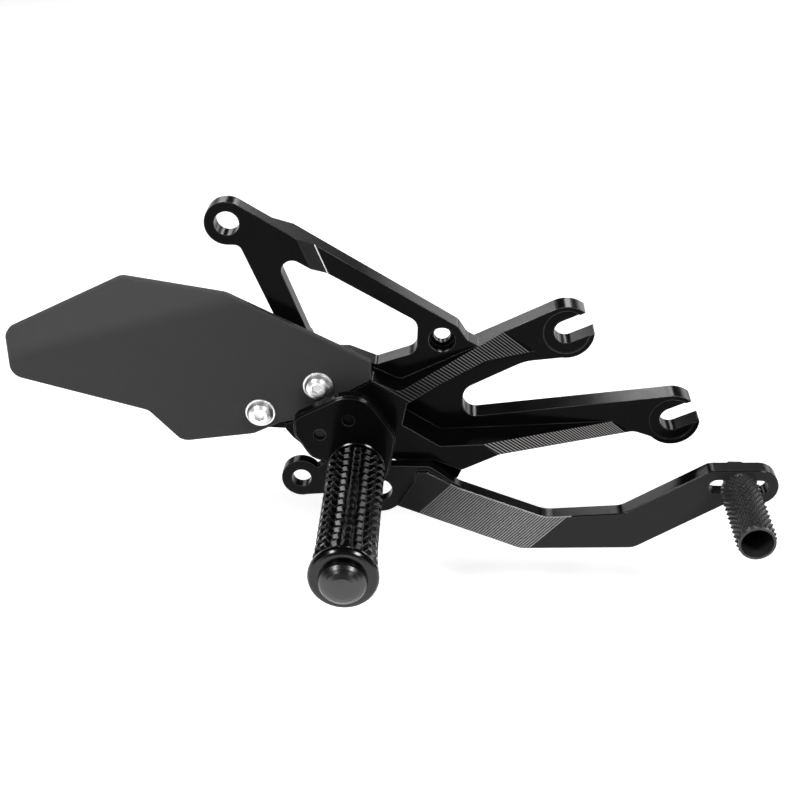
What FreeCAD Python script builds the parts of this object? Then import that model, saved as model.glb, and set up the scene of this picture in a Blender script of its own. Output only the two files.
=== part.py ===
import FreeCAD, Part
import math
import os
from FreeCAD import Vector

os.makedirs("parts", exist_ok=True)

# Right-hand motorcycle rearset. X runs forward along the motorcycle, Y runs inward to its frame, Z is up.
# Sizes are laid out from the footpeg and lever pivot axis, in the plane of the faces that meet the frame.
# The finished pieces are then moved so that the upper frame bolt's axis in that plane is the origin.

# Depths of the bracket's faces, measured outward from the frame plane
fork_thickness = 9.5
body_thickness = 24.5
arm_face = 12.0
arm_thickness = 8.5
ear_face = 16.5
ear_thickness = 7.0
tab_back = 8.0

# Frame forks: two heads with open slots
upper_head = (86.3, 50.0)
lower_head = (133.5, 9.4)
head_radius = 11.7
slot_width = 10.4
slot_angle = 25.0
spot_radius = 9.6
spot_depth = 0.8
gap_radius = 6.2

# Rear arm: ear, window and counterbored hole
ear_centre = (-51.4, 99.1)
ear_radius = 9.1
ear_hole = 10.0
arm_hole = (34.7, 47.0)
arm_hole_dia = 7.0
arm_bore_dia = 11.0
arm_bore_depth = 5.2
joggle_angle = 22.0
joggle_start = 12.85
joggle_run = 4.3
back_joggle_start = 5.5
back_joggle_run = 5.5

# Ribs that ramp from the body down to the fork heads
upper_ramp_angle = -32.5
upper_ramp_start = 31.2
upper_ramp_end = 74.7
lower_ramp_angle = -34.5
lower_ramp_start = 33.1
lower_ramp_end = 68.6
web_depth = 18.0

# Heel guard and its fasteners
guard_thickness = 2.5
guard_gap = 0.5
guard_bolts_at = [(-16.2, 31.3), (-40.7, 18.3)]
m6_dia = 6.0
m6_tap_drill = 5.0
m6_free_hole = 6.6
button_dia = 11.0
button_height = 3.3
button_socket = 4.0
guard_washer_dia = 12.4
guard_washer_thickness = 0.8
guard_bolt_reach = 12.0

# Lever pivot between the body and the peg plate
hub_thickness = 5.0
lever_thickness = 7.0
bush_flange = 0.8
bush_flange_dia = 21.0
bush_outer = 18.0
sleeve_outer = 14.0
running_clearance = 0.05
seat_clearance = 0.03
thread_clearance = 0.05

# Peg plate, spacers and screws
plate_thickness = 5.0
plate_chamfer = 0.9
spacer_dia = 12.0
spacers_at = [(-15.0, 14.5), (-3.0, 21.5)]
cap_head_dia = 10.0
cap_head_height = 6.0
cap_socket = 5.0
cap_bore_dia = 11.0
plate_thread_depth = 3.5

# Brake lever
hub_radius = 14.0
rod_lug = (-23.8, -10.1)
rod_lug_radius = 8.4
rod_hole = 8.2
web_lug = (9.4, -15.4)
web_lug_radius = 10.6
web_hole = 10.4
toe_centre = (160.0, -9.7)
toe_slot_length = 25.0
toe_slot_width = 7.0
lever_end_radius = 8.3
lever_line_angle = 47.0
lever_line_start = 36.6
lever_line_end = 83.6
line_pitch = 1.07
line_width = 0.6
line_depth = 0.3
edge_chamfer = 0.4

# Toe peg and its fasteners
toe_length = 41.5
toe_crest = 16.6
toe_root = 14.8
toe_bore = 13.0
toe_floor = 5.0
toe_columns = 24
toe_rows = 12
toe_land = 1.2
nut_width = 10.0
nut_height = 5.0
nut_washer_dia = 10.8
nut_washer_thickness = 1.0
toe_bolt_tail = 1.5

# Footpeg
peg_length = 81.0
peg_rim_dia = 23.6
peg_rim_length = 1.6
peg_rim_chamfer = 0.5
peg_crest = 23.8
peg_root = 19.4
peg_columns = 16
peg_rows = 15
peg_swell = 1.1
peg_swell_start = 93.0
peg_turn = 5.75
peg_flange_dia = 26.8
peg_flange_length = 5.4
peg_neck_length = 0.8
peg_bolt_dia = 8.0
peg_bolt_free = 8.4
peg_bolt_reach = 22.0
peg_bolt_head = 13.0
peg_bolt_head_height = 8.0
peg_bolt_socket = 6.0
peg_bore_dia = 15.0
peg_washer_dia = 14.6
peg_washer_thickness = 1.5
dowel_dia = 3.0
dowel_depth = 4.0
dowel_radius = 8.0
cap_dia = 18.4
cap_rim = 1.0
cap_rise = 5.2
cap_spigot_dia = 10.0
cap_spigot_length = 8.0

# Seam between the heel guard's lower edge and the body, and the body's edge beside it
seam_high = (5.8, 34.2)
seam_low = (-26.5, 14.4)
seam_length = math.hypot(seam_high[0] - seam_low[0], seam_high[1] - seam_low[1])
seam_run = (seam_high[0] - seam_low[0]) / seam_length
seam_rise = (seam_high[1] - seam_low[1]) / seam_length
body_high = (seam_high[0] + guard_gap * seam_rise, seam_high[1] - guard_gap * seam_run)
body_low = (seam_low[0] + guard_gap * seam_rise, seam_low[1] - guard_gap * seam_run)
ramp_lip = 0.95
body_lip = (body_high[0] - ramp_lip * seam_run, body_high[1] - ramp_lip * seam_rise)
rib_root = (body_high[0] - 4.0 * ramp_lip * seam_run, body_high[1] - 4.0 * ramp_lip * seam_rise)

# Outlines as corner points (x, z, corner radius); corners that two outlines share are named first
hip = (59.6, -0.5)
keel = (44.0, -8.3)
shoulder = (51.9, 4.3)
waist = (lower_head[0] - 15.5, lower_head[1] - 5.9)
low_share = 0.976
rib_low = (hip[0] + low_share * (waist[0] - hip[0]), hip[1] + low_share * (waist[1] - hip[1]))
body_outline = [
    (body_lip[0], body_lip[1], 0.0), (20.68, 23.7, 0.0), (18.6, 13.2, 1.2), (34.6, 3.2, 2.0),
    (shoulder[0], shoulder[1], 0.0), ((hip[0] + keel[0]) / 2.0, (hip[1] + keel[1]) / 2.0, 0.0),
    (keel[0], keel[1], 2.5), (32.0, -3.6, 4.0), (13.0, -3.6, 2.0), (0.0, -13.0, 4.0),
    (-11.0, -9.0, 8.0), (-27.5, 6.5, 5.0), (-32.0, 12.6, 3.0), (body_low[0], body_low[1], 0.0)]
web_outline = [
    (20.0, 0.0, 0.0), (50.0, 0.0, 0.0), (50.5, -8.2, 0.0), (44.6, -10.9, 3.0), (42.2, -16.5, 2.0),
    (37.5, -18.5, 2.0), (10.0, -5.0, 0.0), (10.0, 0.0, 0.0)]
tab_outline = [
    (0.5, 38.0, 2.0), (-20.0, 50.0, 2.0), (-34.0, 46.0, 6.0), (-50.0, 23.0, 8.0),
    (-46.0, 10.0, 7.0), (-24.0, 9.0, 1.0), (-18.0, 4.0, 1.0), (0.0, 10.0, 1.0), (5.0, 28.0, 1.0)]
arm_outline = [
    (-46.6, 106.8, 0.0), (41.4, 53.0, 4.5), (45.0, 47.3, 3.0), (50.4, 44.3, 0.0), (46.0, 38.0, 0.0),
    (18.0, 24.0, 0.0), (0.0, 20.0, 0.0), (-28.0, 38.0, 4.0), (-29.0, 47.0, 2.0), (-46.8, 90.0, 5.5),
    (-51.4, 90.0, 0.0), (-51.4, 99.1, 0.0)]
window_outline = [
    (-34.6, 89.2, 4.5), (24.6, 55.1, 5.0), (24.2, 41.2, 5.0), (7.5, 35.2, 2.0), (-18.0, 45.5, 4.0)]
valley = (17.5, 28.4)
head_turn = math.radians(27.1)
upper_top = (upper_head[0] - head_radius * math.sin(head_turn),
             upper_head[1] + head_radius * math.cos(head_turn))
rib_share = 0.74
rib_top = (valley[0] + rib_share * (upper_top[0] - valley[0]),
           valley[1] + rib_share * (upper_top[1] - valley[1]))
fork_outline = [
    (valley[0], valley[1], 0.0), (upper_top[0], upper_top[1], 0.0), (upper_head[0], upper_head[1], 0.0),
    (upper_head[0] - 1.1, upper_head[1] - 11.6, 0.0), (69.5, 36.4, 20.0),
    (44.0, 22.8, gap_radius), (44.0, 9.0, gap_radius), (114.8, 18.6, 0.0),
    (lower_head[0] - 1.7, lower_head[1] + 11.5, 0.0), (lower_head[0], lower_head[1], 0.0),
    (lower_head[0] - 8.0, lower_head[1] - 8.4, 0.0), (waist[0], waist[1], 6.0), (hip[0], hip[1], 3.0),
    (keel[0], keel[1], 2.5), (32.0, -3.6, 4.0), (0.0, -3.6, 0.0), (0.0, 24.0, 0.0)]
upper_rib = [
    (rib_root[0], rib_root[1], 0.0), (body_high[0], body_high[1], 0.5), (valley[0], valley[1], 4.3),
    (rib_top[0], rib_top[1], 0.0),
    (76.0, 41.6, 0.0), (53.3, 38.8, 12.0), (34.2, 30.4, 8.0), (14.0, 19.85, 0.0)]
lower_rib = [
    (44.0, -1.0, 0.0), (shoulder[0], shoulder[1], 0.0), (rib_low[0], 8.9, 0.0), (rib_low[0], rib_low[1], 0.0),
    (hip[0], hip[1], 3.0), (keel[0], keel[1], 2.5), (32.0, -3.6, 0.0)]
guard_outline = [
    (-144.2, 54.4, 6.0), (-94.0, 79.0, 5.0), (-52.4, 72.1, 8.0), (seam_high[0], 42.6, 2.5),
    (seam_high[0], seam_high[1], 1.5), (seam_low[0], seam_low[1], 4.0), (-32.5, 13.4, 4.0),
    (-44.0, 7.7, 8.0), (-74.7, 3.4, 6.0), (-88.0, 18.0, 6.0), (-144.2, 33.6, 6.0)]
plate_outline = [
    (-26.0, 22.0, 5.0), (1.6, 36.5, 13.0), (16.9, 14.0, 9.0), (12.0, -12.0, 11.0), (-12.0, -12.0, 11.0),
    (-12.4, 0.9, 2.0), (-19.0, 3.4, 7.0), (-25.6, 14.0, 5.0)]
lever_outline = [
    (0.0, 8.0, 0.0), (14.0, -3.4, 2.0), (30.5, -3.4, 4.0), (43.0, -12.6, 10.0), (80.0, -26.5, 14.0),
    (112.5, -23.8, 8.0), (147.6, -1.9, 6.0), (168.3, -1.4, 0.0), (168.3, -18.0, 0.0),
    (154.6, -18.6, 2.0), (118.5, -41.2, 8.0), (70.0, -42.8, 8.0), (16.8, -22.1, 0.0),
    (4.0, -24.6, 6.0), (-10.0, -17.2, 6.0), (-24.0, -18.4, 0.0), (-23.8, -10.1, 0.0)]
raised_outline = [
    (16.8, -22.1, 0.0), (24.0, -9.2, 1.0), (24.7, -5.5, 1.5), (29.0, -5.0, 3.0), (43.0, -12.6, 10.0),
    (80.0, -26.5, 14.0),
    (112.5, -23.8, 8.0), (147.6, -1.9, 6.0), (168.3, -1.4, 0.0), (168.3, -18.0, 0.0),
    (154.6, -18.6, 2.0), (118.5, -41.2, 8.0), (70.0, -42.8, 8.0)]

# Depths that follow from the sizes above
hub_gap = bush_flange + 2.0 * running_clearance
hub_back = body_thickness + hub_gap
hub_front = hub_back + hub_thickness
lever_front = hub_back + lever_thickness
plate_back = hub_front + hub_gap
plate_front = plate_back + plate_thickness
tab_face = body_thickness - guard_thickness
peg_end = plate_front + peg_length


def unit(dx, dz):
    size = math.hypot(dx, dz)
    return dx / size, dz / size


def loop(points, depth):
    # closed wire in the plane y = -depth, each corner rounded as far as its two sides allow
    count = len(points)
    ins = []
    for i in range(count):
        px, pz, radius = points[i]
        ax, az, _ = points[i - 1]
        bx, bz, _ = points[(i + 1) % count]
        ua = unit(ax - px, az - pz)
        ub = unit(bx - px, bz - pz)
        dot = max(-1.0, min(1.0, ua[0] * ub[0] + ua[1] * ub[1]))
        half = math.acos(dot) / 2.0
        room = 0.48 * min(math.hypot(ax - px, az - pz), math.hypot(bx - px, bz - pz))
        trim = min(radius / math.tan(half), room) if radius > 0.0 and half < 1.565 else 0.0
        if trim < 0.02:
            ins.append(((px, pz), None, (px, pz)))
            continue
        bend = trim * math.tan(half)
        mid = unit(ua[0] + ub[0], ua[1] + ub[1])
        reach = bend / math.sin(half) - bend
        ins.append(((px + ua[0] * trim, pz + ua[1] * trim), (px + mid[0] * reach, pz + mid[1] * reach),
                    (px + ub[0] * trim, pz + ub[1] * trim)))
    place = lambda p: Vector(p[0], -depth, p[1])
    edges = []
    for i in range(count):
        first, middle, last = ins[i]
        if middle is not None:
            edges.append(Part.Arc(place(first), place(middle), place(last)).toShape())
        nxt = ins[(i + 1) % count][0]
        if math.hypot(nxt[0] - last[0], nxt[1] - last[1]) > 1e-6:
            edges.append(Part.makeLine(place(last), place(nxt)))
    return Part.Wire(edges)


def slab(points, back, front):
    # prism between two depths
    return Part.Face(loop(points, back)).extrude(Vector(0, back - front, 0))


def disc(at, radius, back, front):
    return Part.makeCylinder(radius, front - back, Vector(at[0], -back, at[1]), Vector(0, -1, 0))


def tube(at, outer, inner, back, front):
    return disc(at, outer, back, front).cut(disc(at, inner, back - 1.0, front + 1.0))


def slot_tool(at, length, width, angle, back, front):
    # stadium from the point at, reaching length along the angle
    dx = math.cos(math.radians(angle))
    dz = math.sin(math.radians(angle))
    half = width / 2.0
    a = (at[0] - dz * half, at[1] + dx * half, 0.0)
    b = (at[0] + dz * half, at[1] - dx * half, 0.0)
    c = (b[0] + dx * length, b[1] + dz * length, 0.0)
    d = (a[0] + dx * length, a[1] + dz * length, 0.0)
    return slab([a, b, c, d], back, front).fuse(disc(at, half, back, front))


def hexagon(at, width, back, front):
    corner = width / math.sqrt(3.0)
    points = []
    for k in range(6):
        turn = math.radians(60.0 * k + 30.0)
        points.append((at[0] + corner * math.cos(turn), at[1] + corner * math.sin(turn), 0.0))
    return slab(points, back, front)


def across(angle, section, half_length=150.0):
    # prism whose section is given as (distance across the direction, depth), running along the angle
    dx = math.cos(math.radians(angle))
    dz = math.sin(math.radians(angle))
    points = [Vector(-dz * u - dx * half_length, -depth, dx * u - dz * half_length) for u, depth in section]
    wire = Part.makePolygon(points + [points[0]])
    return Part.Face(wire).extrude(Vector(2.0 * half_length * dx, 0, 2.0 * half_length * dz))


def engraving(angle, start, end, face):
    # V grooves at the line pitch in the flat face at the depth face
    tools = []
    u = start
    while u <= end:
        tools.append(across(angle, [(u, face - line_depth), (u + line_width, face + line_depth),
                                    (u - line_width, face + line_depth)]))
        u += line_pitch
    return Part.makeCompound(tools)


def outer_edges(shape, depth):
    # straight and round edges that lie in the plane y = -depth
    found = []
    for edge in shape.Edges:
        box = edge.BoundBox
        if abs(box.YMin + depth) < 1e-4 and abs(box.YMax + depth) < 1e-4:
            found.append(edge)
    return found


def mesh_solid(faces):
    shell = Part.makeShell(faces)
    shell.sewShape()
    solid = Part.makeSolid(shell)
    if solid.Volume < 0:
        solid.reverse()
    return solid


def facet(points):
    return Part.Face(Part.makePolygon(points + [points[0]]))


def around(radius, turn, depth):
    return Vector(radius * math.cos(turn), -depth, radius * math.sin(turn))


def toothed_barrel(columns, rows, crest, root, back, front, turned):
    # square teeth with four sloping flanks and a flat crest, in columns round the Y axis and rows along it,
    # on a core that swells towards the front
    turns = []
    for c in range(columns):
        step = 2.0 * math.pi / columns
        base = step * c + math.radians(turned)
        turns += [(base, 0), (base + 0.3 * step, 1), (base + 0.7 * step, 1)]
    pitch = (front - back) / rows
    depths = []
    for r in range(rows):
        base = back + r * pitch
        depths += [(base, 0), (base + 0.33 * pitch, 1), (base + 0.67 * pitch, 1)]
    depths.append((front, 0))
    grid = []
    swells = []
    for depth, high in depths:
        share = max(0.0, (depth - peg_swell_start) / (front - peg_swell_start))
        swells.append(peg_swell * share * share)
        line = []
        for turn, wide in turns:
            radius = crest / 2.0 if high and wide else root / 2.0
            line.append(around(radius + swells[-1], turn, depth))
        grid.append(line)
    faces = []
    across_count = len(turns)
    for i in range(len(depths) - 1):
        for j in range(across_count):
            k = (j + 1) % across_count
            quad = [grid[i][j], grid[i][k], grid[i + 1][k], grid[i + 1][j]]
            tall = [depths[i][1] and turns[j][1], depths[i][1] and turns[k][1],
                    depths[i + 1][1] and turns[k][1], depths[i + 1][1] and turns[j][1]]
            if sum(tall) == 1 or (sum(tall) == 2 and swells[i + 1] > 0.0):
                top = [bool(t) for t in tall].index(True)
                faces.append(facet([quad[top], quad[(top + 1) % 4], quad[(top + 2) % 4]]))
                faces.append(facet([quad[top], quad[(top + 2) % 4], quad[(top + 3) % 4]]))
            else:
                faces.append(facet(quad))
    faces.append(facet(list(reversed(grid[0]))))
    faces.append(facet(grid[-1]))
    return mesh_solid(faces)


def diamond_barrel(columns, rows, crest, root, back, front):
    # diamond knurl: a four-sided point in each diamond, the two families of valleys crossing between them
    pitch = (front - back) / rows
    step = 2.0 * math.pi / columns
    low = root / 2.0
    high = crest / 2.0
    faces = []
    for r in range(rows + 1):
        for c in range(columns):
            depth = back + r * pitch
            turn = c * step
            left = around(low, turn - step / 2.0, depth)
            right = around(low, turn + step / 2.0, depth)
            tip = around(high, turn, depth)
            near = around(low, turn, depth - pitch / 2.0)
            far = around(low, turn, depth + pitch / 2.0)
            if r == 0:
                tip = around(low, turn, depth)
            if r == rows:
                tip = around(low, turn, depth)
            if r > 0:
                faces.append(facet([tip, left, near]))
                faces.append(facet([tip, near, right]))
            if r < rows:
                faces.append(facet([tip, far, left]))
                faces.append(facet([tip, right, far]))
            if r < rows:
                shift = turn + step / 2.0
                between = depth + pitch / 2.0
                apex = around(high, shift, between)
                ahead = around(low, shift + step / 2.0, between)
                sides = [right, ahead, around(low, shift, depth + pitch), far]
                for k in range(4):
                    faces.append(facet([apex, sides[k], sides[(k + 1) % 4]]))
    for depth in (back, front):
        ring = []
        for c in range(columns):
            ring.append(around(low, c * step, depth))
            ring.append(around(low, (c + 0.5) * step, depth))
        faces.append(facet(ring))
    return mesh_solid(faces)


def spin(points):
    # solid turned about the Y axis from (radius, depth) points
    profile = [Vector(r, -d, 0) for r, d in points]
    wire = Part.makePolygon(profile + [profile[0]])
    return Part.Face(wire).revolve(Vector(0, 0, 0), Vector(0, 1, 0), 360)


def shifted(shape, at):
    moved = shape.copy()
    moved.translate(Vector(at[0], 0, at[1]))
    return moved


# Main bracket: rear arm with its joggled ear, forks, tab, body and ribs, milled from one plate
arm = slab(arm_outline, arm_face - arm_thickness, ear_face)
arm = arm.fuse(disc(ear_centre, ear_radius, ear_face - ear_thickness, ear_face))
deep = body_thickness + 20.0
joggle = 90.0 - joggle_angle
far_u = 300.0
front_cut = across(-joggle, [(joggle_start, ear_face), (joggle_start + joggle_run, arm_face),
                             (far_u, arm_face), (far_u, deep), (joggle_start, deep)])
back_joggle_end = back_joggle_start + back_joggle_run
back_cut = across(-joggle, [(back_joggle_start, ear_face - ear_thickness),
                            (back_joggle_end, arm_face - arm_thickness), (back_joggle_end, -20.0),
                            (-far_u, -20.0), (-far_u, ear_face - ear_thickness)])
arm = arm.cut(front_cut).cut(back_cut)

forks = slab(fork_outline, 0.0, fork_thickness)
for head in (upper_head, lower_head):
    forks = forks.fuse(disc(head, head_radius, 0.0, fork_thickness))

tab = slab(tab_outline, tab_back, tab_face)
body = slab(body_outline, 0.0, body_thickness)
web = slab(web_outline, 0.0, web_depth)


ribs = []
for outline, angle, start, end in ((upper_rib, upper_ramp_angle, upper_ramp_start, upper_ramp_end),
                                   (lower_rib, lower_ramp_angle, lower_ramp_start, lower_ramp_end)):
    ramp = across(angle, [(start, body_thickness), (end, fork_thickness), (far_u, fork_thickness),
                               (far_u, deep), (start, deep)])
    ribs.append(slab(outline, 0.0, body_thickness).cut(ramp))

bracket = body.fuse([forks, tab, arm, web] + ribs).removeSplitter()
bracket = bracket.cut(slab(window_outline, -20.0, deep))
for head in (upper_head, lower_head):
    bracket = bracket.cut(slot_tool(head, 3.0 * head_radius, slot_width, slot_angle, -1.0, deep))
    bracket = bracket.cut(disc(head, spot_radius, fork_thickness - spot_depth, deep))
bracket = bracket.cut(disc(ear_centre, ear_hole / 2.0, 0.0, deep))
bracket = bracket.cut(disc(arm_hole, arm_hole_dia / 2.0, -1.0, arm_face + 1.0))
bracket = bracket.cut(disc(arm_hole, arm_bore_dia / 2.0, arm_face - arm_bore_depth, deep))
for at in guard_bolts_at:
    bracket = bracket.cut(disc(at, m6_dia / 2.0 + thread_clearance, tab_back - 1.0, deep))
for at in spacers_at:
    bracket = bracket.cut(disc(at, m6_free_hole / 2.0, -1.0, deep))
    bracket = bracket.cut(disc(at, cap_bore_dia / 2.0, -1.0, cap_head_height + 1.0))
bracket = bracket.cut(disc((0, 0), peg_bolt_free / 2.0, -1.0, deep))
peg_seat = peg_bolt_head_height + peg_washer_thickness + 0.5
bracket = bracket.cut(disc((0, 0), peg_bore_dia / 2.0, -1.0, peg_seat))

# Heel guard, its washers and bolts
guard = slab(guard_outline, tab_face, body_thickness)
guard = guard.makeChamfer(edge_chamfer, outer_edges(guard, body_thickness))
for at in guard_bolts_at:
    guard = guard.cut(disc(at, m6_free_hole / 2.0, tab_face - 1.0, body_thickness + 1.0))
washer_face = body_thickness + guard_washer_thickness
guard_washers = []
guard_bolts = []
for at in guard_bolts_at:
    guard_washers.append(tube(at, guard_washer_dia / 2.0, m6_free_hole / 2.0, body_thickness, washer_face))
    dome = spin([(0, washer_face), (button_dia / 2.0, washer_face),
                 (button_dia / 2.0, washer_face + 0.25 * button_height),
                 (0.42 * button_dia, washer_face + 0.72 * button_height),
                 (0.3 * button_dia, washer_face + button_height), (0, washer_face + button_height)])
    bolt = shifted(dome, at).fuse(disc(at, m6_dia / 2.0, tab_face - guard_bolt_reach, washer_face))
    bolt = bolt.cut(hexagon(at, button_socket, washer_face + 0.35 * button_height, deep))
    guard_bolts.append(bolt)

# Peg plate with its spacers and screws
plate = slab(plate_outline, plate_back, plate_front)
plate = plate.makeChamfer(plate_chamfer, outer_edges(plate, plate_front))
plate = plate.cut(disc((0, 0), peg_bolt_free / 2.0, plate_back - 1.0, plate_front + 1.0))
plate_spacers = []
plate_screws = []
screw_end = plate_back + plate_thread_depth
for at in spacers_at:
    plate = plate.cut(disc(at, m6_dia / 2.0 + thread_clearance, plate_back - 1.0, screw_end + 0.3))
    plate = plate.cut(disc(at, m6_tap_drill / 2.0, plate_back, plate_front + 1.0))
    plate_spacers.append(tube(at, spacer_dia / 2.0, m6_free_hole / 2.0, body_thickness, plate_back))
    seat = cap_head_height + 1.0
    screw = disc(at, cap_head_dia / 2.0, 1.0, seat).fuse(disc(at, m6_dia / 2.0, seat, screw_end))
    plate_screws.append(screw.cut(hexagon(at, cap_socket, 0.0, 1.0 + 0.5 * cap_head_height)))
dowel_at = (dowel_radius * math.cos(math.radians(-60.0)), dowel_radius * math.sin(math.radians(-60.0)))
dowel = disc(dowel_at, dowel_dia / 2.0, plate_front - dowel_depth, plate_front + dowel_depth)
dowel_room = disc(dowel_at, dowel_dia / 2.0 + seat_clearance, plate_front - dowel_depth - 0.2,
                  plate_front + dowel_depth + 0.2)
plate = plate.cut(dowel_room)

# Pivot sleeve and the two flanged bushes of the lever
sleeve = tube((0, 0), sleeve_outer / 2.0, peg_bolt_free / 2.0, body_thickness, plate_back)
bush_bore = sleeve_outer / 2.0 + running_clearance
middle = (hub_back + hub_front) / 2.0
half_gap = 0.1
bush_rear = tube((0, 0), bush_outer / 2.0, bush_bore, hub_back, middle - half_gap)
bush_rear = bush_rear.fuse(tube((0, 0), bush_flange_dia / 2.0, bush_bore, hub_back - bush_flange, hub_back))
bush_front = tube((0, 0), bush_outer / 2.0, bush_bore, middle + half_gap, hub_front)
bush_front = bush_front.fuse(tube((0, 0), bush_flange_dia / 2.0, bush_bore, hub_front,
                                  hub_front + bush_flange))

# Brake lever: hub and lugs at one level, the arm raised above it, with engraved lines
lever_end = (168.3, -9.7)
lever = slab(lever_outline, hub_back, hub_front).fuse([
    disc((0, 0), hub_radius, hub_back, hub_front),
    disc(rod_lug, rod_lug_radius, hub_back, hub_front),
    disc(web_lug, web_lug_radius, hub_back, hub_front)])
raised = slab(raised_outline, hub_back, lever_front).fuse(
    disc(lever_end, lever_end_radius, hub_back, lever_front))
raised = raised.removeSplitter()
raised = raised.makeChamfer(edge_chamfer, outer_edges(raised, lever_front))
raised = raised.cut(engraving(lever_line_angle - 180.0, lever_line_start, lever_line_end, lever_front))
lever = lever.fuse(raised).removeSplitter()
lever = lever.cut(disc((0, 0), bush_outer / 2.0 + seat_clearance, hub_back - 1.0, hub_front + 1.0))
lever = lever.cut(disc(rod_lug, rod_hole / 2.0, hub_back - 1.0, lever_front + 1.0))
lever = lever.cut(disc(web_lug, web_hole / 2.0, hub_back - 1.0, lever_front + 1.0))
slot_run = toe_slot_length - toe_slot_width
for way in (0.0, 180.0):
    lever = lever.cut(slot_tool(toe_centre, slot_run / 2.0, toe_slot_width, way, hub_back - 1.0,
                                lever_front + 1.0))
    tip = (toe_centre[0] + math.cos(math.radians(way)) * slot_run / 2.0, toe_centre[1])
    lever = lever.cut(disc(tip, toe_slot_width / 2.0, hub_back - 1.0, lever_front + 1.0))

# Toe peg with its diamond knurl, bolt, washer and nut
toe_end = lever_front + toe_length
toe_peg = diamond_barrel(toe_columns, toe_rows, toe_crest, toe_root, lever_front + toe_land,
                         toe_end - toe_land)
rear_land = disc((0, 0), toe_root / 2.0, lever_front, lever_front + toe_land)
front_land = disc((0, 0), toe_root / 2.0, toe_end - toe_land, toe_end)
toe_peg = toe_peg.fuse([rear_land, front_land])
toe_peg = toe_peg.cut(disc((0, 0), toe_bore / 2.0, lever_front + toe_floor, toe_end + 1.0))
toe_peg = toe_peg.cut(disc((0, 0), m6_free_hole / 2.0, lever_front - 1.0, toe_end + 1.0))
toe_peg = shifted(toe_peg, toe_centre)
nut_face = hub_back - nut_washer_thickness
nut_end = nut_face - nut_height
toe_washer = tube(toe_centre, nut_washer_dia / 2.0, m6_free_hole / 2.0, nut_face, hub_back)
toe_nut = hexagon(toe_centre, nut_width, nut_end, nut_face)
toe_nut.rotate(Vector(toe_centre[0], 0, toe_centre[1]), Vector(0, 1, 0), 30.0)
toe_nut = toe_nut.cut(disc(toe_centre, m6_dia / 2.0 + thread_clearance, nut_end - 1.0, nut_face + 1.0))
head_seat = lever_front + toe_floor
toe_bolt = disc(toe_centre, cap_head_dia / 2.0, head_seat, head_seat + cap_head_height)
toe_bolt = toe_bolt.fuse(disc(toe_centre, m6_dia / 2.0, nut_end - toe_bolt_tail, head_seat))
toe_bolt = toe_bolt.cut(hexagon(toe_centre, cap_socket, head_seat + 0.5 * cap_head_height, toe_end))

# Footpeg: smooth rim, toothed barrel, neck and flange, with a domed end cap
rim_end = plate_front + peg_rim_length
teeth_end = peg_end - peg_flange_length - peg_neck_length
rim_radius = peg_rim_dia / 2.0
rim = spin([(0, plate_front), (rim_radius - peg_rim_chamfer, plate_front),
            (rim_radius, plate_front + peg_rim_chamfer), (rim_radius, rim_end - peg_rim_chamfer),
            (rim_radius - peg_rim_chamfer, rim_end), (0, rim_end)])
barrel = toothed_barrel(peg_columns, peg_rows, peg_crest, peg_root, rim_end, teeth_end, peg_turn)
neck_end = teeth_end + peg_neck_length
flange_radius = peg_flange_dia / 2.0
neck_radius = peg_root / 2.0 + peg_swell
flare = flange_radius - neck_radius
flange = spin([(0, teeth_end), (neck_radius, teeth_end), (neck_radius, neck_end),
               (neck_radius + 0.55 * flare, neck_end + 0.08 * peg_flange_length),
               (neck_radius + 0.82 * flare, neck_end + 0.22 * peg_flange_length),
               (flange_radius - 0.03 * flare, neck_end + 0.42 * peg_flange_length),
               (flange_radius, neck_end + 0.58 * peg_flange_length),
               (flange_radius - 0.1 * flare, neck_end + 0.76 * peg_flange_length),
               (flange_radius - 0.36 * flare, neck_end + 0.92 * peg_flange_length),
               (flange_radius - 0.75 * flare, peg_end), (0, peg_end)])
footpeg = barrel.fuse([rim, flange])
footpeg = footpeg.cut(disc((0, 0), peg_bolt_dia / 2.0 + thread_clearance, plate_front - 1.0,
                           plate_front + peg_bolt_reach + 1.0))
footpeg = footpeg.cut(disc((0, 0), cap_spigot_dia / 2.0 + seat_clearance, peg_end - cap_spigot_length - 0.3,
                           peg_end + 1.0))
footpeg = footpeg.cut(dowel_room)
cap_radius = cap_dia / 2.0
dome_points = [(0, peg_end), (cap_radius, peg_end), (cap_radius, peg_end + cap_rim)]
for k in range(1, 7):
    turn = math.radians(15.0 * k)
    dome_points.append((cap_radius * math.cos(turn), peg_end + cap_rim + cap_rise * math.sin(turn)))
end_cap = spin(dome_points[:-1] + [(0, peg_end + cap_rim + cap_rise)])
end_cap = end_cap.fuse(disc((0, 0), cap_spigot_dia / 2.0, peg_end - cap_spigot_length, peg_end))

# Footpeg bolt and washer, sunk in the back of the body
bolt_seat = peg_seat - peg_washer_thickness
peg_washer = tube((0, 0), peg_washer_dia / 2.0, peg_bolt_free / 2.0, bolt_seat, peg_seat)
peg_bolt = disc((0, 0), peg_bolt_head / 2.0, bolt_seat - peg_bolt_head_height, bolt_seat)
peg_bolt = peg_bolt.fuse(disc((0, 0), peg_bolt_dia / 2.0, bolt_seat, plate_front + peg_bolt_reach))
peg_bolt = peg_bolt.cut(hexagon((0, 0), peg_bolt_socket, 0.0, bolt_seat - 0.5 * peg_bolt_head_height))

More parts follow.
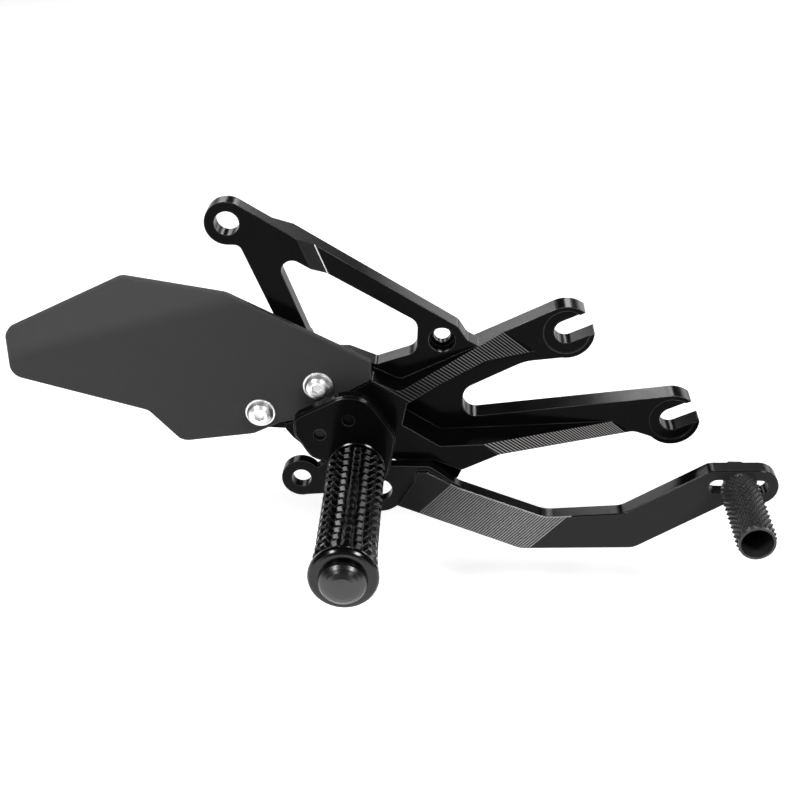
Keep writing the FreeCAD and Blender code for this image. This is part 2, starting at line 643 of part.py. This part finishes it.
nodes = {
    "main_bracket": bracket,
    "heel_guard": guard,
    "heel_guard_washers": Part.makeCompound(guard_washers),
    "heel_guard_bolts": Part.makeCompound(guard_bolts),
    "peg_plate": plate,
    "plate_spacers": Part.makeCompound(plate_spacers),
    "plate_screws": Part.makeCompound(plate_screws),
    "peg_dowel": dowel,
    "pivot_sleeve": sleeve,
    "lever_bush_rear": bush_rear,
    "lever_bush_front": bush_front,
    "brake_lever": lever,
    "toe_peg": toe_peg,
    "toe_peg_bolt": toe_bolt,
    "toe_peg_washer": toe_washer,
    "toe_peg_nut": toe_nut,
    "footpeg": footpeg,
    "footpeg_end_cap": end_cap,
    "footpeg_bolt": peg_bolt,
    "footpeg_washer": peg_washer,
}
home = Vector(-upper_head[0], 0, -upper_head[1])
for name, shape in nodes.items():
    shape.translate(home)
    solids = shape.Solids
    print(name, "solids", len(solids), "valid", shape.isValid(), "volume", round(shape.Volume, 1))
    shape.exportStep("parts/" + name + ".step")
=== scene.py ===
import bpy
import math
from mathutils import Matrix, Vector


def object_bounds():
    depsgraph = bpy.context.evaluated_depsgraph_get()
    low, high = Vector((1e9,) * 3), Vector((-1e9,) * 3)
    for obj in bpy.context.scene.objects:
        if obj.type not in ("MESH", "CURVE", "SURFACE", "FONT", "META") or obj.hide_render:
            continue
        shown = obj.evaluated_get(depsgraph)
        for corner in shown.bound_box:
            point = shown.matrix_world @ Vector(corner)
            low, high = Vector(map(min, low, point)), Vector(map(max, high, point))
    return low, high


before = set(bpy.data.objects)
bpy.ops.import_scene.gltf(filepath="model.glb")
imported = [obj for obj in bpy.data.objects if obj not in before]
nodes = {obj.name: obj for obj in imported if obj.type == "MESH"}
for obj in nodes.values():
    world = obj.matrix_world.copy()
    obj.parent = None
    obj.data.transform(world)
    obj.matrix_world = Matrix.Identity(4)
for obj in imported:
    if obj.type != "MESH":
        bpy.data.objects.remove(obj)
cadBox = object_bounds()
print("frame loaded,", len(nodes), "nodes")

sharpAngle = 25.0  # faces that meet at less than this many degrees shade as one
bumpDistance = 0.0001  # metres that a full step of bump height stands for
home = (-0.0863, -0.0500)  # pivot axis in X and Z, from the upper frame bolt


def smoothShade(obj):
    for poly in obj.data.polygons:
        poly.use_smooth = True
    obj.data.set_sharp_from_angle(angle=math.radians(sharpAngle))


# small helpers for node trees
class Tree:
    def __init__(self, tree):
        self.tree = tree
        self.column = 0

    def add(self, kind, **values):
        node = self.tree.nodes.new(kind)
        node.location = (self.column * 190.0, 0.0)
        self.column += 1
        for key, value in values.items():
            setattr(node, key, value)
        return node

    def link(self, source, target):
        self.tree.links.new(source, target)

    # a number, vector or colour is set on the socket, and another node's output is linked to it
    def feed(self, value, socket):
        if isinstance(value, (int, float, tuple)):
            socket.default_value = value
        else:
            self.link(value, socket)

    def math(self, operation, *values):
        node = self.add("ShaderNodeMath", operation=operation)
        for index, value in enumerate(values):
            self.feed(value, node.inputs[index])
        return node.outputs[0]

    def dot(self, first, second):
        node = self.add("ShaderNodeVectorMath", operation="DOT_PRODUCT")
        self.feed(first, node.inputs[0])
        self.feed(second, node.inputs[1])
        return node.outputs["Value"]

    def ramp(self, value, low, high, outLow=0.0, outHigh=1.0):
        node = self.add("ShaderNodeMapRange", clamp=True)
        self.feed(value, node.inputs["Value"])
        for key, number in (("From Min", low), ("From Max", high), ("To Min", outLow), ("To Max", outHigh)):
            self.feed(number, node.inputs[key])
        return node.outputs["Result"]

    def mixColor(self, factor, first, second):
        node = self.add("ShaderNodeMix", data_type="RGBA", blend_type="MIX")
        self.feed(factor, node.inputs[0])
        self.feed(first, node.inputs[6])  # colour A
        self.feed(second, node.inputs[7])  # colour B
        return node.outputs[2]

    # how far a point lies along a direction, in the object's own coordinates
    def reach(self, direction):
        coords = self.add("ShaderNodeTexCoord")
        return self.dot(coords.outputs["Object"], direction)


def newGroup(name, inputs, outputs):
    group = bpy.data.node_groups.new(name, "ShaderNodeTree")
    for socketName, kind, value in inputs:
        socket = group.interface.new_socket(socketName, in_out="INPUT", socket_type=kind)
        socket.default_value = value
    for socketName, kind in outputs:
        group.interface.new_socket(socketName, in_out="OUTPUT", socket_type=kind)
    tree = Tree(group)
    return group, tree, tree.add("NodeGroupInput"), tree.add("NodeGroupOutput")


# softened corners: a mask along the edges, used to paint highlights and some wear into the colour, and a
# rounded normal
def makeEdgeGroup():
    group, tree, given, out = newGroup(
        "edgeGlint",
        [("Radius", "NodeSocketFloat", 0.0004), ("Low", "NodeSocketFloat", 0.01),
         ("High", "NodeSocketFloat", 0.12), ("Patchiness", "NodeSocketFloat", 0.35)],
        [("Mask", "NodeSocketFloat"), ("Normal", "NodeSocketVector")])
    bevel = tree.add("ShaderNodeBevel", samples=6)
    tree.link(given.outputs["Radius"], bevel.inputs["Radius"])
    geometry = tree.add("ShaderNodeNewGeometry")
    turned = tree.dot(bevel.outputs["Normal"], geometry.outputs["Normal"])
    lean = tree.math("SUBTRACT", 1.0, turned)
    mask = tree.ramp(lean, given.outputs["Low"], given.outputs["High"])
    coords = tree.add("ShaderNodeTexCoord")
    patches = tree.add("ShaderNodeTexNoise")
    tree.link(coords.outputs["Object"], patches.inputs["Vector"])
    patches.inputs["Scale"].default_value = 70.0
    patches.inputs["Detail"].default_value = 3.0
    uneven = tree.ramp(patches.outputs["Fac"], 0.35, 0.65)
    kept = tree.math("SUBTRACT", 1.0, tree.math("MULTIPLY", given.outputs["Patchiness"], uneven))
    tree.link(tree.math("MULTIPLY", mask, kept), out.inputs["Mask"])
    tree.link(bevel.outputs["Normal"], out.inputs["Normal"])
    return group


# fine grain of the anodised and blasted surfaces
def makeGrainGroup():
    group, tree, given, out = newGroup(
        "surfaceGrain",
        [("Fine Scale", "NodeSocketFloat", 2600.0), ("Cloud Scale", "NodeSocketFloat", 60.0),
         ("Rough Low", "NodeSocketFloat", 0.2), ("Rough High", "NodeSocketFloat", 0.3)],
        [("Roughness", "NodeSocketFloat"), ("Height", "NodeSocketFloat"), ("Cloud", "NodeSocketFloat")])
    coords = tree.add("ShaderNodeTexCoord")
    fine = tree.add("ShaderNodeTexNoise")
    tree.link(coords.outputs["Object"], fine.inputs["Vector"])
    tree.link(given.outputs["Fine Scale"], fine.inputs["Scale"])
    fine.inputs["Detail"].default_value = 2.0
    cloud = tree.add("ShaderNodeTexNoise")
    tree.link(coords.outputs["Object"], cloud.inputs["Vector"])
    tree.link(given.outputs["Cloud Scale"], cloud.inputs["Scale"])
    cloud.inputs["Detail"].default_value = 4.0
    blend = tree.math("ADD", tree.math("MULTIPLY", fine.outputs["Fac"], 0.5),
                      tree.math("MULTIPLY", cloud.outputs["Fac"], 0.5))
    tree.link(tree.ramp(blend, 0.35, 0.65, given.outputs["Rough Low"], given.outputs["Rough High"]),
              out.inputs["Roughness"])
    tree.link(fine.outputs["Fac"], out.inputs["Height"])
    tree.link(tree.ramp(cloud.outputs["Fac"], 0.3, 0.7), out.inputs["Cloud"])
    return group


lineShape = {"softness": 0.35, "overrun": 0.012}  # shares of a line's half width and of the band's length


# engraved lines that fan a little and draw closer along the band, only on faces that look along Facing
def makeLineGroup():
    group, tree, given, out = newGroup(
        "engravedLines",
        [("Across", "NodeSocketVector", (1.0, 0.0, 0.0)), ("Along", "NodeSocketVector", (0.0, 0.0, 1.0)),
         ("First", "NodeSocketFloat", 0.0), ("Middle", "NodeSocketFloat", 0.0),
         ("Length", "NodeSocketFloat", 1.0), ("Fan", "NodeSocketFloat", 0.0),
         ("Count", "NodeSocketFloat", 30.0), ("Squeeze", "NodeSocketFloat", 0.0),
         ("Share", "NodeSocketFloat", 0.5), ("Half Width", "NodeSocketFloat", 1.0),
         ("Facing", "NodeSocketVector", (0.0, -1.0, 0.0)),
         ("Facing Least", "NodeSocketFloat", 0.99), ("Facing Most", "NodeSocketFloat", 1.01)],
        [("Mask", "NodeSocketFloat"), ("Travel", "NodeSocketFloat")])
    geometry = tree.add("ShaderNodeNewGeometry")
    reach = tree.reach(given.outputs["Across"])
    aside = tree.math("SUBTRACT", tree.reach(given.outputs["Along"]), given.outputs["Middle"])
    spread = tree.math("MULTIPLY", aside, given.outputs["Fan"])
    within = tree.math("LESS_THAN", tree.math("ABSOLUTE", aside), given.outputs["Half Width"])
    travel = tree.math("DIVIDE", tree.math("SUBTRACT", reach, given.outputs["First"]),
                       tree.math("SUBTRACT", given.outputs["Length"], spread))
    bend = tree.math("MULTIPLY", tree.math("MULTIPLY", travel, tree.math("SUBTRACT", travel, 1.0)),
                     given.outputs["Squeeze"])
    count = tree.math("MULTIPLY", tree.math("ADD", travel, bend), given.outputs["Count"])
    offset = tree.math("ABSOLUTE", tree.math("SUBTRACT", count, tree.math("ROUND", count)))
    half = tree.math("MULTIPLY", given.outputs["Share"], 0.5)
    groove = tree.ramp(offset, tree.math("MULTIPLY", half, 1.0 + lineShape["softness"]),
                       tree.math("MULTIPLY", half, 1.0 - lineShape["softness"]))
    after = tree.math("GREATER_THAN", travel, -lineShape["overrun"])
    before = tree.math("LESS_THAN", travel, 1.0 + lineShape["overrun"])
    look = tree.dot(geometry.outputs["True Normal"], given.outputs["Facing"])
    facing = tree.math("MULTIPLY", tree.math("GREATER_THAN", look, given.outputs["Facing Least"]),
                       tree.math("LESS_THAN", look, given.outputs["Facing Most"]))
    span = tree.math("MULTIPLY", tree.math("MULTIPLY", after, before), within)
    mask = tree.math("MULTIPLY", tree.math("MULTIPLY", groove, facing), span)
    tree.link(mask, out.inputs["Mask"])
    tree.link(travel, out.inputs["Travel"])
    return group


# faces that look one way, between two depths along Y
def makeFaceGroup():
    group, tree, given, out = newGroup(
        "faceMask",
        [("Facing", "NodeSocketVector", (0.0, -1.0, 0.0)), ("Facing Least", "NodeSocketFloat", 0.99),
         ("Outer", "NodeSocketFloat", -1.0), ("Inner", "NodeSocketFloat", 1.0)],
        [("Mask", "NodeSocketFloat")])
    geometry = tree.add("ShaderNodeNewGeometry")
    depth = tree.reach((0.0, 1.0, 0.0))
    look = tree.dot(geometry.outputs["True Normal"], given.outputs["Facing"])
    facing = tree.math("GREATER_THAN", look, given.outputs["Facing Least"])
    inside = tree.math("MULTIPLY", tree.math("GREATER_THAN", depth, given.outputs["Outer"]),
                       tree.math("LESS_THAN", depth, given.outputs["Inner"]))
    tree.link(tree.math("MULTIPLY", facing, inside), out.inputs["Mask"])
    return group


edgeGroup = makeEdgeGroup()
grainGroup = makeGrainGroup()
lineGroup = makeLineGroup()
faceGroup = makeFaceGroup()
print("shader groups ready")


def place(tree, group, **values):
    node = tree.add("ShaderNodeGroup")
    node.node_tree = group
    for key, value in values.items():
        node.inputs[key].default_value = value
    return node


def grey(value):
    return (value, value, value, 1.0)


# a metal finish: base colour with cloudy tone, faces tinted with painted light and shade, sweeps of tone,
# edges brightened as a painted highlight with some wear, and engraved lines. A face may turn to its far tone
# between the two X values of near; a line's fade gives two places along the band and the share of the line's
# tone at each
def metalFinish(name, look, lines=(), faces=()):
    material = bpy.data.materials.new(name)
    material.use_nodes = True
    tree = Tree(material.node_tree)
    shader = material.node_tree.nodes["Principled BSDF"]
    shader.inputs["Metallic"].default_value = look["metallic"]
    shader.inputs["Specular IOR Level"].default_value = look["specular"]
    grain = place(tree, grainGroup, **{"Fine Scale": look["grainScale"], "Rough Low": look["rough"][0],
                                       "Rough High": look["rough"][1]})
    edge = place(tree, edgeGroup, **{"Radius": look["edgeRadius"], "Patchiness": look["edgePatch"]})
    color = tree.mixColor(grain.outputs["Cloud"], *look["tone"])
    for face in faces:
        tint = place(tree, faceGroup, **face["values"])
        shade = tree.mixColor(grain.outputs["Cloud"], *face["tone"])
        if "far" in face:
            shade = tree.mixColor(tree.ramp(tree.reach((1.0, 0.0, 0.0)), *face["near"]), shade, face["far"])
        color = tree.mixColor(tint.outputs["Mask"], color, shade)
    for sweep in look.get("sweeps", ()):
        blend = tree.ramp(tree.reach(sweep["across"]), sweep["low"], sweep["high"])
        color = tree.mixColor(blend, color, sweep["tone"])
    # the edge mask brightens the colour: a painted highlight along the edges, partly worn bare edges
    strength = tree.math("MULTIPLY", edge.outputs["Mask"], look["edgeSheenAndWearStrength"])
    color = tree.mixColor(strength, color, look["edgeSheenAndWearTone"])
    tree.link(grain.outputs["Roughness"], shader.inputs["Roughness"])
    if look["edgeCoat"] > 0.0:
        coat = tree.math("MULTIPLY", edge.outputs["Mask"], look["edgeCoat"])
        tree.link(coat, shader.inputs["Coat Weight"])
        shader.inputs["Coat Roughness"].default_value = look["coatRough"]
    height = grain.outputs["Height"]
    for line in lines:
        cut = place(tree, lineGroup, **line["values"])
        fade = tree.ramp(cut.outputs["Travel"], *line["fade"])
        color = tree.mixColor(tree.math("MULTIPLY", cut.outputs["Mask"], fade), color, line["tone"])
        height = tree.math("SUBTRACT", height, tree.math("MULTIPLY", cut.outputs["Mask"], line["depth"]))
    tree.link(color, shader.inputs["Base Color"])
    bump = tree.add("ShaderNodeBump")
    bump.inputs["Strength"].default_value = look["bump"]
    bump.inputs["Distance"].default_value = bumpDistance
    tree.link(height, bump.inputs["Height"])
    tree.link(edge.outputs["Normal"], bump.inputs["Normal"])
    tree.link(bump.outputs["Normal"], shader.inputs["Normal"])
    return material


# turn is the first line's slope in degrees, start a point on it from the pivot,
# faceTurn and lean the slope and the tilt of the face that carries the lines
def fanLines(turn, start, length, faceTurn, lean, **extra):
    angle = math.radians(turn)
    across = (-math.sin(angle), 0.0, math.cos(angle))
    along = (math.cos(angle), 0.0, math.sin(angle))
    spot = (start[0] + home[0], start[1] + home[1])
    faceAngle = math.radians(faceTurn)
    tilt = math.radians(lean)
    facing = (-math.sin(faceAngle) * math.sin(tilt), -math.cos(tilt), math.cos(faceAngle) * math.sin(tilt))
    values = {"Across": across, "Along": along, "First": across[0] * spot[0] + across[2] * spot[1],
              "Middle": along[0] * spot[0] + along[2] * spot[1], "Length": length, "Facing": facing}
    values.update(extra)
    return values


# black anodised bracket and plate; each rib falls back by the same depth over its own run, in mm
ribFall = {"depth": 15.0, "upperRun": 43.5, "lowerRun": 35.5}
upperLean = math.degrees(math.atan2(ribFall["depth"], ribFall["upperRun"]))
lowerLean = math.degrees(math.atan2(ribFall["depth"], ribFall["lowerRun"]))
bracketLook = {
    "tone": (grey(0.0022), grey(0.0036)), "metallic": 0.0, "specular": 0.05, "rough": (0.14, 0.22),
    "grainScale": 1800.0, "bump": 0.03, "edgeRadius": 0.0008, "edgePatch": 0.75, "edgeSheenAndWearStrength": 0.35,
    "edgeSheenAndWearTone": grey(0.1), "edgeCoat": 1.0, "coatRough": 0.18}
# the upper lines' fade brightens them along the band: a painted reflection on bare-metal lines
upperLines = {
    "values": fanLines(-31.5, (0.0125, 0.0284), 0.0462, -32.5, upperLean, **{
        "Fan": 0.113, "Count": 38.0, "Squeeze": 0.08, "Share": 0.38, "Facing Least": 0.998}),
    "fade": (0.15, 0.6, 0.3, 0.95), "tone": grey(0.15), "depth": 2.0}
lowerLines = {
    "values": fanLines(-33.1, (0.0551, 0.0020), 0.0372, -34.5, lowerLean, **{
        "Fan": 0.087, "Count": 40.0, "Squeeze": 0.128, "Share": 0.42, "Facing Least": 0.998}),
    "fade": (0.0, 1.0, 0.95, 0.95), "tone": grey(0.28), "depth": 2.0}
# one thin near-white line along the joggle's chamfer: a bare line whose brightness is a painted highlight,
# sunk in a little by bump
joggleGlintLine = {
    "values": fanLines(-68.0, (-0.0147, 0.0826), 0.5, 0.0, 0.0, **{
        "Count": 1.0, "Share": 0.0011, "Half Width": 0.0067, "Facing Least": 0.99}),
    "fade": (0.0, 1.0, 1.0, 1.0), "tone": grey(0.92), "depth": 1.0}
# painted light: the joggle's sloping face is painted lighter grey than the black bracket where it turns
# towards the lamps
joggleLitFace = {
    "values": {"Facing": (0.670, -0.691, 0.271), "Facing Least": 0.995, "Outer": -0.0175, "Inner": -0.011},
    "tone": (grey(0.024), grey(0.03))}
blackAnodised = metalFinish("blackAnodised", bracketLook, [upperLines, lowerLines, joggleGlintLine], [joggleLitFace])
plateLook = dict(bracketLook, rough=(0.1, 0.16))
plateBlack = metalFinish("plateBlack", plateLook)

# heel guard, blasted and matt; painted light makes it lighter above a soft crease, where the bent face turns
# up to the light, and it is darker towards the bolts
creaseTurn = math.radians(15.8)
creasePoint = (home[0] - 0.1091, home[1] + 0.0527)
creaseAcross = (-math.sin(creaseTurn), 0.0, math.cos(creaseTurn))
creaseReach = creaseAcross[0] * creasePoint[0] + creaseAcross[2] * creasePoint[1]
guardLook = {
    "sweeps": [
        {"across": (1.0, 0.0, -0.3), "low": home[0] - 0.15, "high": home[0] - 0.02, "tone": grey(0.0325)},
        # painted light: lighter above the crease
        {"across": creaseAcross, "low": creaseReach - 0.003, "high": creaseReach + 0.004,
         "tone": grey(0.06)}],
    "tone": (grey(0.04), grey(0.049)), "metallic": 0.0, "specular": 0.2, "rough": (0.5, 0.62),
    "grainScale": 2400.0, "bump": 0.3, "edgeRadius": 0.0004, "edgePatch": 0.3, "edgeSheenAndWearStrength": 0.5,
    "edgeSheenAndWearTone": grey(0.2), "edgeCoat": 0.0}
guardGrey = metalFinish("guardGrey", guardLook)

# lever: black sides, a satin grey outer face with bright engraved lines; painted shade darkens the hub and
# the outer face near it, and the top face is painted lighter away from the hub
leverLook = {
    "tone": (grey(0.003), grey(0.0045)), "metallic": 0.0, "specular": 0.05, "rough": (0.12, 0.18),
    "grainScale": 2600.0, "bump": 0.08, "edgeRadius": 0.0005, "edgePatch": 0.3, "edgeSheenAndWearStrength": 0.5,
    "edgeSheenAndWearTone": grey(0.12), "edgeCoat": 0.6, "coatRough": 0.18}
leverTurn = 47.0 - 180.0  # the lines rise at 47 degrees and are counted downwards
leverStart = 0.0366  # from the pivot to the first line
leverLines = {
    "values": fanLines(leverTurn, (0.0, 0.0), 0.0470, leverTurn, 0.0, **{
        "Count": 43.925, "Share": 0.95, "Facing Least": 0.6, "Facing Most": 0.9}),
    "fade": (0.0, 0.7, 0.45, 1.0), "tone": grey(0.36), "depth": 0.0}
leverLines["values"]["First"] += leverStart
# painted shade on the outer face: darker near the hub, turning to its own satin grey further out
raisedFaceShade = {
    "values": {"Facing Least": 0.95, "Outer": -0.034, "Inner": -0.0314}, "tone": (grey(0.009), grey(0.012)),
    "near": (home[0] + 0.022, home[0] + 0.075), "far": grey(0.03)}
# painted shade on the recessed hub face
hubShade = {
    "values": {"Facing Least": 0.95, "Outer": -0.0314, "Inner": -0.029}, "tone": (grey(0.008), grey(0.011))}
# painted light and shade on the top face: black near the hub, painted lighter further from it
topFaceLightAndShade = {
    "values": {"Facing": (0.0, 0.0, 1.0), "Facing Least": 0.97}, "tone": (grey(0.003), grey(0.0045)),
    "near": (home[0] + 0.068, home[0] + 0.085), "far": grey(0.026)}
leverGrey = metalFinish("leverGrey", leverLook, [leverLines], [raisedFaceShade, hubShade, topFaceLightAndShade])

# toe peg knurl
toeLook = {
    "tone": (grey(0.04), grey(0.065)), "metallic": 0.5, "specular": 0.4, "rough": (0.26, 0.36),
    "grainScale": 2600.0, "bump": 0.08, "edgeRadius": 0.00015, "edgePatch": 0.3, "edgeSheenAndWearStrength": 0.4,
    "edgeSheenAndWearTone": grey(0.3), "edgeCoat": 0.0}
toeGrey = metalFinish("toeGrey", toeLook)

# footpeg teeth and end cap, glossy dark metal
pegLook = {
    "tone": (grey(0.036), grey(0.048)), "metallic": 1.0, "specular": 0.5, "rough": (0.12, 0.18),
    "grainScale": 2600.0, "bump": 0.03, "edgeRadius": 0.0004, "edgePatch": 0.3, "edgeSheenAndWearStrength": 0.04,
    "edgeSheenAndWearTone": grey(0.2), "edgeCoat": 0.0}
pegBlack = metalFinish("pegBlack", pegLook)
capLook = dict(pegLook, tone=(grey(0.07), grey(0.085)), rough=(0.24, 0.3))
capDark = metalFinish("capDark", capLook)

# bright and blackened fasteners, bronze bushes
boltLook = {
    "tone": (grey(0.86), grey(0.93)), "metallic": 1.0, "specular": 0.5, "rough": (0.3, 0.4),
    "grainScale": 2200.0, "bump": 0.04, "edgeRadius": 0.0003, "edgePatch": 0.2, "edgeSheenAndWearStrength": 0.3,
    "edgeSheenAndWearTone": grey(0.95), "edgeCoat": 0.0}
brightSteel = metalFinish("brightSteel", boltLook)
screwLook = dict(boltLook, tone=(grey(0.012), grey(0.02)), edgeSheenAndWearTone=grey(0.1))
darkSteel = metalFinish("darkSteel", screwLook)
bushLook = dict(boltLook, tone=((0.42, 0.27, 0.11, 1.0), (0.5, 0.33, 0.15, 1.0)), rough=(0.25, 0.35),
                edgeSheenAndWearTone=(0.7, 0.5, 0.28, 1.0))
bushBronze = metalFinish("bushBronze", bushLook)

finishes = {
    "main_bracket": blackAnodised, "peg_plate": plateBlack, "heel_guard": guardGrey,
    "heel_guard_washers": brightSteel, "heel_guard_bolts": brightSteel, "plate_spacers": darkSteel,
    "plate_screws": darkSteel, "peg_dowel": darkSteel, "pivot_sleeve": darkSteel,
    "lever_bush_rear": bushBronze, "lever_bush_front": bushBronze, "brake_lever": leverGrey,
    "toe_peg": toeGrey, "toe_peg_bolt": darkSteel, "toe_peg_washer": darkSteel, "toe_peg_nut": darkSteel,
    "footpeg": pegBlack, "footpeg_end_cap": capDark, "footpeg_bolt": darkSteel, "footpeg_washer": darkSteel}
for name, material in finishes.items():
    nodes[name].data.materials.clear()
    nodes[name].data.materials.append(material)
    smoothShade(nodes[name])
print("finishes set on", len(finishes), "nodes")

# floor and sky; the two rises are heights of the sky, from 0 at the horizon to 1 overhead
stageLook = {
    "floorTone": 0.86, "floorRough": 0.9, "floorGlow": 0.7, "floorSize": 60.0, "floorDrop": 0.03,
    "skyLow": 0.3, "skyHigh": 0.08, "skyRise": (0.05, 0.4), "horizon": 0.78, "horizonRise": (0.03, 0.06)}


# the floor glows a little for whoever looks at it, so it reads white and still takes a shadow;
# it lies low enough for the lever at full travel
def makeFloor():
    size = stageLook["floorSize"] / 2.0
    level = cadBox[0][2] - stageLook["floorDrop"]
    mesh = bpy.data.meshes.new("studioFloor")
    mesh.from_pydata([(-size, -size, level), (size, -size, level), (size, size, level), (-size, size, level)],
                     [], [(0, 1, 2, 3)])
    floor = bpy.data.objects.new("studioFloor", mesh)
    bpy.context.scene.collection.objects.link(floor)
    material = bpy.data.materials.new("paleFloor")
    material.use_nodes = True
    tree = Tree(material.node_tree)
    shader = material.node_tree.nodes["Principled BSDF"]
    shader.inputs["Base Color"].default_value = grey(stageLook["floorTone"])
    shader.inputs["Roughness"].default_value = stageLook["floorRough"]
    shader.inputs["Specular IOR Level"].default_value = 0.0
    shader.inputs["Emission Color"].default_value = grey(1.0)
    path = tree.add("ShaderNodeLightPath")
    seen = tree.math("MAXIMUM", path.outputs["Is Camera Ray"],
                     tree.math("MAXIMUM", path.outputs["Is Glossy Ray"], path.outputs["Is Transmission Ray"]))
    tree.link(tree.math("MULTIPLY", seen, stageLook["floorGlow"]), shader.inputs["Emission Strength"])
    floor.data.materials.append(material)


# as pale as the far floor at the horizon, and darker overhead
def makeSky():
    world = bpy.data.worlds.new("studioSky")
    bpy.context.scene.world = world
    world.use_nodes = True
    tree = Tree(world.node_tree)
    sky = world.node_tree.nodes["Background"]
    sky.inputs["Color"].default_value = grey(1.0)
    coords = tree.add("ShaderNodeTexCoord")
    split = tree.add("ShaderNodeSeparateXYZ")
    tree.link(coords.outputs["Generated"], split.inputs[0])
    dome = tree.ramp(split.outputs["Z"], *stageLook["skyRise"], stageLook["skyLow"], stageLook["skyHigh"])
    horizon = tree.ramp(split.outputs["Z"], *stageLook["horizonRise"], stageLook["horizon"], 0.0)
    tree.link(tree.math("MAXIMUM", dome, horizon), sky.inputs["Strength"])


def softbox(name, location, target, size, power):
    light = bpy.data.lights.new(name, "AREA")
    light.shape = "RECTANGLE"
    light.size = size[0]
    light.size_y = size[1]
    light.energy = power
    obj = bpy.data.objects.new(name, light)
    bpy.context.scene.collection.objects.link(obj)
    obj.location = location
    obj.rotation_euler = (obj.location - Vector(target)).to_track_quat("Z", "Y").to_euler()


makeFloor()
makeSky()
# place, size and power; the front pair lights the part, the tops of the forks and the arm mirror
# the back ones, and the peg's teeth mirror the low pair
lampLook = {
    "frontLeft": ((-0.62, -0.55, 0.78), (0.28, 0.28), 5.7),
    "frontRight": ((0.53, -0.55, 0.74), (0.28, 0.28), 5.7),
    "backLeft": ((-0.46, 0.98, 0.41), (0.36, 0.27), 1.6),
    "backRight": ((0.62, 1.0, 0.16), (0.7, 0.28), 2.2),
    "backMiddle": ((0.11, 1.05, 0.52), (0.2, 0.16), 1.5),
    "backLow": ((0.15, 1.0, 0.37), (0.22, 0.13), 0.12),
    "lowLeft": ((-0.55, -0.91, 0.55), (0.17, 0.17), 0.75),
    "lowRight": ((0.44, -0.93, 0.46), (0.17, 0.17), 0.35)}
lampTarget = (-0.07, -0.05, -0.03)
for name, (location, size, power) in lampLook.items():
    softbox(name, location, lampTarget, size, power)
print("stage and lights ready")

cameraLook = {"lens": 63.0, "sensor": 36.0, "clipStart": 0.01,
              "location": (-0.050792, -0.534272, 0.253208), "tilt": (61.4, 0.0, 2.0)}
camera = bpy.data.cameras.new("photoCamera")
camera.sensor_width = cameraLook["sensor"]
camera.lens = cameraLook["lens"]
camera.clip_start = cameraLook["clipStart"]
cameraObject = bpy.data.objects.new("photoCamera", camera)
bpy.context.scene.collection.objects.link(cameraObject)
cameraObject.location = cameraLook["location"]
cameraObject.rotation_euler = [math.radians(value) for value in cameraLook["tilt"]]
bpy.context.scene.camera = cameraObject
bpy.context.scene.view_settings.view_transform = "Standard"
